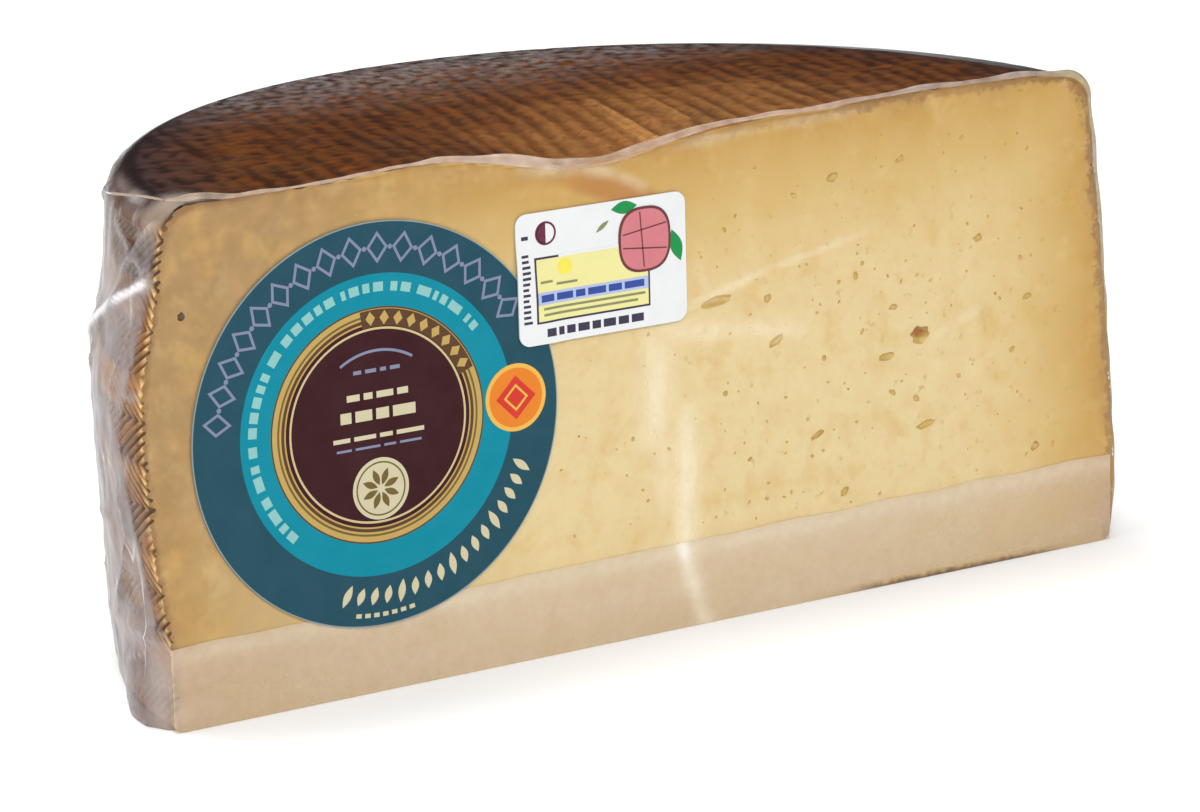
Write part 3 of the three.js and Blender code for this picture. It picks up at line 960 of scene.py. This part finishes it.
def pinched_edge():
    path = edge_path()
    last = len(path) - 1

    def place(u, v):
        k = round(u * last)
        x, y, z = path[k]
        way = (path[min(k + 2, last)] - path[max(k - 2, 0)]).normalized()
        inward = Vector((0, 1, 0)) if y == 0 else Vector((y, -x, 0)).normalized()
        outward = way.cross(inward).normalized()
        here = path[k] / 7
        thick = 0.55 + 0.3 * noise.noise(here + Vector((0, 0, 1)))
        thick += 1.1 * hump(x + 26, 13) + 0.3 * ease((-80 - x) / 10)
        thick += 0.9 * hump(x + 2, 12) + 0.2 * ease((x - 5) / 40)
        thick += 0.1 * ease((x - 84) / 6)
        thick *= 0.4 + 0.6 * ease((z - 45) / 20)
        thick *= 0.45 + 0.55 * ease((x + EDGE_LEFT) / 4)
        thick *= min(1, (min(k, last - k) + 1) / 8)
        middle = path[k] + outward * 0.35 * noise.noise(here + Vector((0, 0, 9)))
        turn = 2 * math.pi * v
        across = Vector((0, 0.18 + EDGE_DEEP * thick * math.sin(turn), 0))
        return middle + outward * EDGE_HIGH * thick * math.cos(turn) + across

    piece = as_object(tube(last, 10, place), "film_edge")
    haze_and_sheen, warmth, olive = [], [], []
    for vert in piece.data.vertices:
        x, z = vert.co.x, vert.co.z
        on_rim = ease((z - 85) / 6)
        by_dip = hump(x + 31, 10)
        past_dip = ease((x + 30) / 12) * ease((30 - x) / 20)
        line = 0.75 + 0.25 * min(abs(z - roll_height(x)) / EDGE_HIGH, 1)
        rightward = ease((x - 20) / 40)
        by_corner = ease((-82 - x) / 8)
        at_end = ease((x - 84) / 10)
        share = 0.3 + 0.42 * at_end
        share += on_rim * (0.24 + 0.1 * by_dip - 0.18 * past_dip - 0.1 * rightward - 0.24 * by_corner)
        haze_and_sheen.append(line * share + 0.2 * noise.noise(vert.co / 2.5))
        warmth.append(0.25 + on_rim * (0.25 - 0.15 * rightward))
        olive.append(0.9 * at_end)
    for name, values in (("haze_and_sheen", haze_and_sheen), ("warmth", warmth), ("olive", olive)):
        set_point_values(piece.data, name, values)
    piece.data.materials.append(clear_film)
    piece.data.shade_smooth()
    return piece


film_edge = pinched_edge()
place_piece(film_edge)
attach(film_edge, "root")


# Doubled band
# The seam of the bag runs along the foot of the cut as a second, hazier layer, with a straight
# upper edge that catches the light. The round label lies over it.
BAND_LEFT, BAND_RIGHT = -102.4, 103.6
BAND_TOP_LEFT, BAND_TOP_RIGHT = 15.6, 17.6
BAND_FRONT, BAND_THICK = -0.29, 0.07


def doubled_band():
    bm = bmesh.new()
    bmesh.ops.create_grid(bm, x_segments=260, y_segments=30, size=0.5)
    front = set(bm.verts)
    thicken(bm, bm.faces[:], BAND_THICK)
    haze_and_sheen, warmth = [], []
    for vert in bm.verts:
        u, up, back = vert.co.x + 0.5, vert.co.y + 0.5, vert.co.z
        across = BAND_LEFT + (BAND_RIGHT - BAND_LEFT) * u
        top = BAND_TOP_LEFT + (BAND_TOP_RIGHT - BAND_TOP_LEFT) * u
        top += 0.35 * rough_at(across / 11, 0, 6)
        vert.co = Vector((across, BAND_FRONT + back, 0.15 + (top - 0.15) * up))
        # Painted highlight: paler along the upper edge, where it catches the light, and along the fold
        line = hump(vert.co.z - top + 1.6, 1.9)
        streak = rough_at(across / 24, vert.co.z / 6, 2)
        fold = hump(across - 3.4 - 0.3 * (17 - vert.co.z), 2)
        pale = 0.43 - 0.08 * ease((across - 30) / 50) - 0.04 * ease((-50 - across) / 30)
        pale += 0.1 * streak + 0.14 * line + 0.24 * fold
        pale *= 1 - 0.85 * foot_shows(across) * ease((2 - vert.co.z) / 1.2)
        haze_and_sheen.append(pale if vert in front else 0)
        warmth.append(0.57 + 0.1 * line + 0.2 * fold)
    bmesh.ops.recalc_face_normals(bm, faces=bm.faces)
    piece = as_object(bm, "film_band")
    set_point_values(piece.data, "haze_and_sheen", haze_and_sheen)
    set_point_values(piece.data, "warmth", warmth)
    piece.data.materials.append(clear_film)
    return piece


film_band = doubled_band()
place_piece(film_band)
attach(film_band, "root")


# Round label
# A thin paper disc printed in rings of flat colour: a pale edge, teal, turquoise and gold lines
# round an aubergine middle. Its ornament is plain: lozenges, leaves, dashes, a rosette and a badge.
ROUND_AT = (-59.7, 49.5)
LABEL_BACK, LABEL_FRONT = -0.3, -0.6
INK_LIFT = 0.025
INK_UNDER = -0.01  # the back of a printed shape, just inside the paper
ROUND_RINGS = (  # outer radius and ink, from the rim inwards
    (37.0, "paper_edge"), (36.8, "teal"), (27.6, "turquoise"), (21.6, "brown"), (21.3, "gold"),
    (20.3, "olive"), (19.9, "gold"), (19.5, "brown"), (18.9, "gold"), (18.6, "aubergine"),
    (17.9, "pale_gold"), (17.5, "aubergine"),
)
# Rows of bars in the middle: height, bar height, ink and bar widths
ROUND_ROWS = (
    (10.2, 0.7, "lilac", (1.6, 2.2, 1.2, 2.0)), (5.7, 1.2, "cream", (2.6, 1.8, 3.4, 2.2)),
    (2.2, 2.0, "cream", (2.2, 3.4, 2.6, 4.6)), (-1.8, 0.8, "cream", (3.4, 4.4, 2.6, 5.6)),
    (-3.7, 0.45, "lilac", (3.0, 5.0, 2.4, 4.4)),
)
ROW_SPACE = 0.8
DASHES_SEED = 4
ROSETTE_AT = (0, -11.6)
BADGE_AT = (28.3, 0.7)
ROUND_INKS = {
    "paper_edge": (132, 146, 148), "teal": (31, 72, 86), "turquoise": (0, 128, 148),
    "brown": (86, 60, 39), "gold": (181, 151, 86), "olive": (107, 90, 46),
    "aubergine": (54, 20, 26), "pale_gold": (195, 176, 130), "lilac": (122, 128, 152),
    "cream": (195, 187, 155), "orange": (215, 123, 40), "yellow": (222, 172, 74),
    "red": (199, 55, 46), "mint": (132, 183, 180),
}


def paper_group():
    """Node group: a printed colour with the faint unevenness of coated paper."""
    group = bpy.data.node_groups.new("printed_paper", "ShaderNodeTree")
    group.interface.new_socket("Ink", in_out="INPUT", socket_type="NodeSocketColor")
    group.interface.new_socket("Color", in_out="OUTPUT", socket_type="NodeSocketColor")
    ink = group.nodes.new("NodeGroupInput").outputs["Ink"]
    pale = mix_colours(0.012, ink, (255, 255, 255))
    dark = mix_colours(0.12, ink, (0, 0, 0))
    uneven = cloudy(on_wheel(group)["Place"], 6, 4, 0.6)
    out = group.nodes.new("NodeGroupOutput")
    feed(out.inputs["Color"], mix_colours(uneven, dark, pale))
    return group


printed_paper = paper_group()


def ink_material(name, colour):
    material, tree, surface = new_material("ink_" + name)
    group = tree.nodes.new("ShaderNodeGroup")
    group.node_tree = printed_paper
    group.inputs["Ink"].default_value = srgb(*colour)
    finish_surface(surface, group.outputs["Color"], 0.45, 0.05)
    return material


def raised(bm, faces, ink, layer):
    """Makes flat faces into a closed plate that stands so many layers of ink above the paper."""
    for face in faces:
        face.material_index = ink
    thicken(bm, faces, layer * INK_LIFT)


def shape(bm, corners, ink, layer=1):
    """A flat filled shape with the given (u, v) corners."""
    face = bm.faces.new([bm.verts.new((u, v, INK_UNDER)) for u, v in corners])
    raised(bm, [face], ink, layer)


def outline(bm, corners, width, ink, layer=1):
    """The outline of a shape, drawn inside it with a line of the given width."""
    face = bm.faces.new([bm.verts.new((u, v, INK_UNDER)) for u, v in corners])
    face.normal_update()
    rim = bmesh.ops.inset_region(
        bm, faces=[face], thickness=width, use_boundary=True, use_even_offset=True
    )["faces"]
    bmesh.ops.delete(bm, geom=[face], context="FACES_ONLY")
    raised(bm, rim, ink, layer)


def moved(corners, u, v, turn=0):
    """The corners turned by so many degrees about their own middle and then moved."""
    c, s = math.cos(math.radians(turn)), math.sin(math.radians(turn))
    return [(u + c * p - s * q, v + s * p + c * q) for p, q in corners]


def on_ring(corners, radius, degrees, lean=0):
    """The corners moved onto a ring about the middle, their upper side outward."""
    a = math.radians(degrees)
    return moved(corners, radius * math.cos(a), radius * math.sin(a), degrees - 90 + lean)


def disc(radius, sides=32):
    steps = (2 * math.pi * k / sides for k in range(sides))
    return [(radius * math.cos(a), radius * math.sin(a)) for a in steps]


def bar(wide, high):
    return [(-wide / 2, -high / 2), (wide / 2, -high / 2), (wide / 2, high / 2), (-wide / 2, high / 2)]


def lozenge(wide, high):
    return [(0, -high / 2), (wide / 2, 0), (0, high / 2), (-wide / 2, 0)]


def leaf(wide, high):
    """A pointed oval, upright."""
    half = [(wide / 2 * math.sin(math.pi * k / 8), high * (k / 8 - 0.5)) for k in range(1, 8)]
    return [(0, -high / 2)] + half + [(0, high / 2)] + [(-u, v) for u, v in reversed(half)]


def soft_square(wide, high):
    """An oval with full corners."""
    turns = [2 * math.pi * k / 40 for k in range(40)]
    sides = [(math.cos(a), math.sin(a)) for a in turns]
    return [
        (math.copysign(abs(c) ** 0.75, c) * wide / 2, math.copysign(abs(s) ** 0.75, s) * high / 2)
        for c, s in sides
    ]


def arc_band(inner, outer, start, end):
    steps = max(4, round(abs(end - start) / 3))
    turns = [math.radians(start + (end - start) * k / steps) for k in range(steps + 1)]
    near = [(inner * math.cos(a), inner * math.sin(a)) for a in turns]
    far = [(outer * math.cos(a), outer * math.sin(a)) for a in turns]
    return near + far[::-1]


def label(name, inks, paper, printing, where):
    """A label as one piece: drawn flat, front upwards, then stood in front of the cut."""
    bm = bmesh.new()
    ink = {ink_name: k for k, ink_name in enumerate(inks)}
    paper(bm, ink)
    printing(bm, ink)
    bmesh.ops.recalc_face_normals(bm, faces=bm.faces)
    for vert in bm.verts:
        u, v, lift = vert.co
        vert.co = Vector((where[0] + u, LABEL_FRONT - lift, where[1] + v))
    piece = as_object(bm, name)
    for ink_name, colour in inks.items():
        piece.data.materials.append(ink_material(ink_name, colour))
    return piece


def ringed_disc(bm, ink):
    """The paper disc, its front a set of rings inset into one another."""
    bmesh.ops.create_circle(bm, cap_ends=True, radius=ROUND_RINGS[0][0], segments=144)
    inner = bm.faces[:][0]
    inner.material_index = ink[ROUND_RINGS[0][1]]
    for (outer, name), (radius, _) in zip(ROUND_RINGS, ROUND_RINGS[1:]):
        rim = bmesh.ops.inset_region(
            bm, faces=[inner], thickness=outer - radius, use_boundary=True, use_even_offset=True
        )["faces"]
        for face in rim:
            face.material_index = ink[name]
    inner.material_index = ink[ROUND_RINGS[-1][1]]
    for item in thicken(bm, bm.faces[:], LABEL_FRONT - LABEL_BACK):
        if isinstance(item, bmesh.types.BMFace):
            item.material_index = ink["paper_edge"]


def round_print(bm, ink):
    draw = random.Random(DASHES_SEED)
    for k in range(16):
        turn = 33 + k * 9.2
        outline(bm, on_ring(lozenge(4.3, 5.8), 32.3, turn), 0.5, ink["lilac"])
        if k < 15:
            shape(bm, on_ring(disc(0.45, 12), 32.3, turn + 4.6), ink["lilac"])
    for k in range(17):
        turn = -104 + k * 5.1
        high = 3.4 if k % 4 else 4.4
        shape(bm, on_ring(leaf(1.5, high), 31.4, turn, -16), ink["cream"])
    for k in range(7):
        shape(bm, on_ring(bar(1.1, 0.8), 34.9, -99 + k * 3), ink["cream"])
    turn = 36.0
    while turn < 224:
        wide = draw.choice((0.9, 1.4, 2.0, 2.8))
        step = math.degrees(wide / 25.2)
        shape(bm, on_ring(bar(wide, 1.7), 25.2, turn + step / 2), ink["mint"])
        turn += step + draw.choice((1.7, 1.7, 3.4))
    shape(bm, arc_band(18.05, 21.15, 22, 98), ink["brown"])
    for k in range(9):
        shape(bm, on_ring(lozenge(1.9, 2.6), 19.6, 27 + k * 8.2), ink["gold"], 2)
    shape(bm, arc_band(13.5, 14.0, 58, 122), ink["lilac"])
    for up, high, name, widths in ROUND_ROWS:
        across = -(sum(widths) + ROW_SPACE * (len(widths) - 1)) / 2
        for wide in widths:
            shape(bm, moved(bar(wide, high), across + wide / 2, up), ink[name])
            across += wide + ROW_SPACE
    shape(bm, moved(disc(5.7, 48), *ROSETTE_AT), ink["cream"])
    outline(bm, moved(disc(5.0, 48), *ROSETTE_AT), 0.28, ink["olive"], 2)
    for k in range(8):
        petal = moved(on_ring(leaf(1.25, 3.2), 2.3, 45 * k + 22.5), *ROSETTE_AT)
        shape(bm, petal, ink["olive"], 2)
    shape(bm, moved(disc(6.3, 48), *BADGE_AT), ink["yellow"])
    shape(bm, moved(disc(5.5, 48), *BADGE_AT), ink["orange"], 2)
    shape(bm, moved(bar(5.8, 5.8), *BADGE_AT, 45), ink["red"], 3)
    outline(bm, moved(bar(3.6, 3.6), *BADGE_AT, 45), 0.4, ink["yellow"], 4)


round_label = label("round_label", ROUND_INKS, ringed_disc, round_print, ROUND_AT)
place_piece(round_label)
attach(round_label, "root")
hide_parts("round_label")


# Grade label
# A small white sticker with rounded corners, stuck partly over the round label and bent up over its
# edge. Its print is generic: a framed pale yellow panel, a half disc, a rose oval with lines across
# it, leaves, bars and dashes.
GRADE_AT = (-12.4, 71.35)
GRADE_WIDE, GRADE_HIGH, GRADE_CORNER = 36, 24.3, 2.2
ROUND_RADIUS = 37
OVERLAP_LIFT = 0.45  # how far it stands forward over the round label
LIFT_RUN = 5  # how far beside the round label's edge the bend reaches
TICKS_SEED = 12
PANEL_LEFT, PANEL_RIGHT = -13.9, 9.7
BLUE_BARS = ((-13.2, -10.4), (-9.8, -6.4), (-5.8, -3.8), (-3.2, 0.6), (1.2, 4.0), (4.6, 8.8))
MOSS_LINES = (  # left, right and lower edge
    (-12.8, 9.0, -5.9), (-12.8, 7.4, -7.0), (-13.2, -10.6, -1.0), (-9.8, -5.4, -1.6),
)
FOOT_BARS = (
    (-12.2, -10.2), (-9.6, -8.4), (-7.8, -6.0), (-5.4, -3.0), (-2.4, -0.6), (0, 2.6), (3.2, 5.4),
    (6, 8.6),
)
OVAL_AT = (9.1, 4.3)
GRADE_INKS = {
    "white": (219, 221, 221), "maroon": (99, 48, 66), "slate": (61, 55, 75),
    "straw": (221, 215, 147), "blue": (53, 75, 147), "rose": (197, 118, 125),
    "russet": (103, 57, 55), "green": (31, 136, 72), "moss": (128, 132, 98),
    "sun": (226, 214, 84), "sky": (168, 182, 212),
}


def grade_paper(bm, ink):
    """The rounded paper, from a grid whose corner squares are drawn in to quarter discs."""
    bmesh.ops.create_grid(bm, x_segments=54, y_segments=36, size=0.5)
    half_wide, half_high, corner = GRADE_WIDE / 2, GRADE_HIGH / 2, GRADE_CORNER
    for vert in bm.verts:
        u, v = vert.co.x * GRADE_WIDE, vert.co.y * GRADE_HIGH
        past_u = (abs(u) - half_wide + corner) / corner
        past_v = (abs(v) - half_high + corner) / corner
        if past_u > 0 and past_v > 0:
            u -= math.copysign(corner * past_u * (1 - math.sqrt(1 - past_v ** 2 / 2)), u)
            v -= math.copysign(corner * past_v * (1 - math.sqrt(1 - past_u ** 2 / 2)), v)
        vert.co = Vector((u, v, 0))
    thicken(bm, bm.faces[:], LABEL_FRONT - LABEL_BACK)
    for face in bm.faces:
        face.material_index = ink["white"]


def field(bm, left, low, right, high, ink, layer=1):
    """A rectangle in cells of about a millimetre, so that it bends with the paper."""
    columns, rows = max(1, round(right - left)), max(1, round(high - low))
    cells = bmesh.ops.create_grid(bm, x_segments=columns, y_segments=rows, size=0.5)["verts"]
    faces = {face for vert in cells for face in vert.link_faces}
    for vert in cells:
        u, v = vert.co.x + 0.5, vert.co.y + 0.5
        vert.co = Vector((left + (right - left) * u, low + (high - low) * v, INK_UNDER))
    raised(bm, list(faces), ink, layer)


def grade_print(bm, ink):
    draw = random.Random(TICKS_SEED)
    field(bm, -16.9, 7.4, -15.5, 8.1, ink["slate"])
    for k in range(13):
        wide = draw.choice((1.2, 1.5, 1.8))
        field(bm, -17.0, 4.2 - 1.02 * k, -17.0 + wide, 4.7 - 1.02 * k, ink["slate"])
    outline(bm, moved(disc(2.2, 32), -11.8, 8.2), 0.4, ink["maroon"])
    shape(bm, moved(arc_band(0.01, 1.9, 90, 270), -11.8, 8.2), ink["maroon"])
    field(bm, -14.3, -8.3, 10.1, 3.9, ink["slate"])
    field(bm, -9.2, 3.2, 10.4, 4.0, ink["white"], 2)
    field(bm, PANEL_LEFT, -7.9, PANEL_RIGHT, 3.5, ink["straw"], 3)
    shape(bm, moved(disc(1.5, 24), -8.0, 1.6), ink["sun"], 4)
    field(bm, PANEL_LEFT, -4.9, PANEL_RIGHT, -2.6, ink["sky"], 4)
    for left, right in BLUE_BARS:
        field(bm, left, -4.4, right, -3.1, ink["blue"], 5)
    for left, right, low in MOSS_LINES:
        field(bm, left, low, right, low + 0.45, ink["moss"], 4)
    for left, right in FOOT_BARS:
        field(bm, left, -10.9, right, -9.4, ink["slate"])
    shape(bm, moved(leaf(2.4, 5.6), 4.9, 10.7, 92), ink["green"])
    shape(bm, moved(leaf(2.6, 6.4), 15.9, 2.2, 17), ink["green"])
    shape(bm, moved(leaf(0.9, 3.4), 0.2, 7.8, -55), ink["moss"])
    shape(bm, moved(soft_square(11.2, 12.2), *OVAL_AT), ink["russet"], 5)
    shape(bm, moved(soft_square(10.2, 11.2), *OVAL_AT), ink["rose"], 6)
    for wide, across, up, turn in ((9.4, 0, 1.9, 8), (9.4, 0, -1.7, -6), (10.4, -0.6, 0, 94)):
        line = moved(moved(bar(wide, 0.25), across, up, turn), *OVAL_AT)
        shape(bm, line, ink["russet"], 7)


grade_label = label("grade_label", GRADE_INKS, grade_paper, grade_print, GRADE_AT)
for corner in grade_label.data.vertices:
    past_edge = math.hypot(corner.co.x - ROUND_AT[0], corner.co.z - ROUND_AT[1]) - ROUND_RADIUS
    corner.co.y -= OVERLAP_LIFT * (1 - ease(past_edge / LIFT_RUN))
place_piece(grade_label)
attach(grade_label, "root")
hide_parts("grade_label")


# Studio
# A pale floor without an edge in sight, a soft white sky and two large lamps, which aren't part of
# the object, and the camera at the photograph's view.
CAMERA_TARGET = Vector((-13.3, 0, 45.6))
CAMERA_TURN = math.radians(-31.21)
CAMERA_LIFT = math.radians(14.62)
CAMERA_ROLL = math.radians(-1.48)
CAMERA_DISTANCE = 853.9
CAMERA_LENS = 140.13
FLOOR_SIZE = 6
LAMPS = (  # name, place, size in metres and power in watts
    ("key_lamp", (-0.8, -1.5, 1.3), 0.9, 21), ("top_lamp", (-0.3, 0.3, 1.8), 0.8, 17),
)
LAMP_TARGET = Vector((0, 0, 0.04))
SKY_STRENGTH = 0.75
SHINE_STRENGTH = 0.02  # of the sky as the film and the rind mirror it


def studio_camera():
    data = bpy.data.cameras.new("camera")
    data.sensor_width = 36
    data.lens = CAMERA_LENS
    data.clip_start = 0.05
    data.clip_end = 20
    camera = bpy.data.objects.new("camera", data)
    bpy.context.scene.collection.objects.link(camera)
    level = math.cos(CAMERA_LIFT)
    back = Vector(
        (math.sin(CAMERA_TURN) * level, -math.cos(CAMERA_TURN) * level, math.sin(CAMERA_LIFT))
    )
    camera.location = WHEEL_PLACE + (CAMERA_TARGET + back * CAMERA_DISTANCE) * MM
    aim = (-back).to_track_quat("-Z", "Y").to_matrix().to_4x4()
    camera.matrix_world = (
        Matrix.Translation(camera.location) @ aim @ Matrix.Rotation(CAMERA_ROLL, 4, "Z")
    )
    bpy.context.scene.camera = camera


def studio_floor():
    bm = bmesh.new()
    bmesh.ops.create_grid(bm, x_segments=2, y_segments=2, size=FLOOR_SIZE)
    floor = as_object(bm, "floor")
    material, _, surface = new_material("pale_floor")
    finish_surface(surface, (0.9, 0.9, 0.9, 1), 0.9, 0.1)
    floor.data.materials.append(material)


def studio_lamp(name, place, size, power):
    data = bpy.data.lights.new(name, "AREA")
    data.size = size
    data.energy = power
    lamp = bpy.data.objects.new(name, data)
    lamp.location = place
    lamp.rotation_euler = (LAMP_TARGET - Vector(place)).to_track_quat("-Z", "Y").to_euler()
    bpy.context.scene.collection.objects.link(lamp)


def studio_sky():
    world = bpy.data.worlds.new("studio_sky")
    bpy.context.scene.world = world
    world.use_nodes = True
    tree = world.node_tree
    sky = tree.nodes["Background"]
    sky.inputs["Color"].default_value = (1, 1, 1, 1)
    sky.inputs["Strength"].default_value = SKY_STRENGTH
    inputs = {"Color": (0.85, 0.92, 1, 1), "Strength": SHINE_STRENGTH}
    shine = add_node(tree, "ShaderNodeBackground", inputs)
    ray = add_node(tree, "ShaderNodeLightPath")
    both = add_node(
        tree, "ShaderNodeMixShader",
        {0: ray.outputs["Is Glossy Ray"], 1: sky.outputs[0], 2: shine.outputs[0]},
    )
    feed(tree.nodes["World Output"].inputs["Surface"], both.outputs[0])


studio_camera()
studio_floor()
for lamp_values in LAMPS:
    studio_lamp(*lamp_values)
studio_sky()
bpy.context.scene.view_settings.view_transform = "Standard"
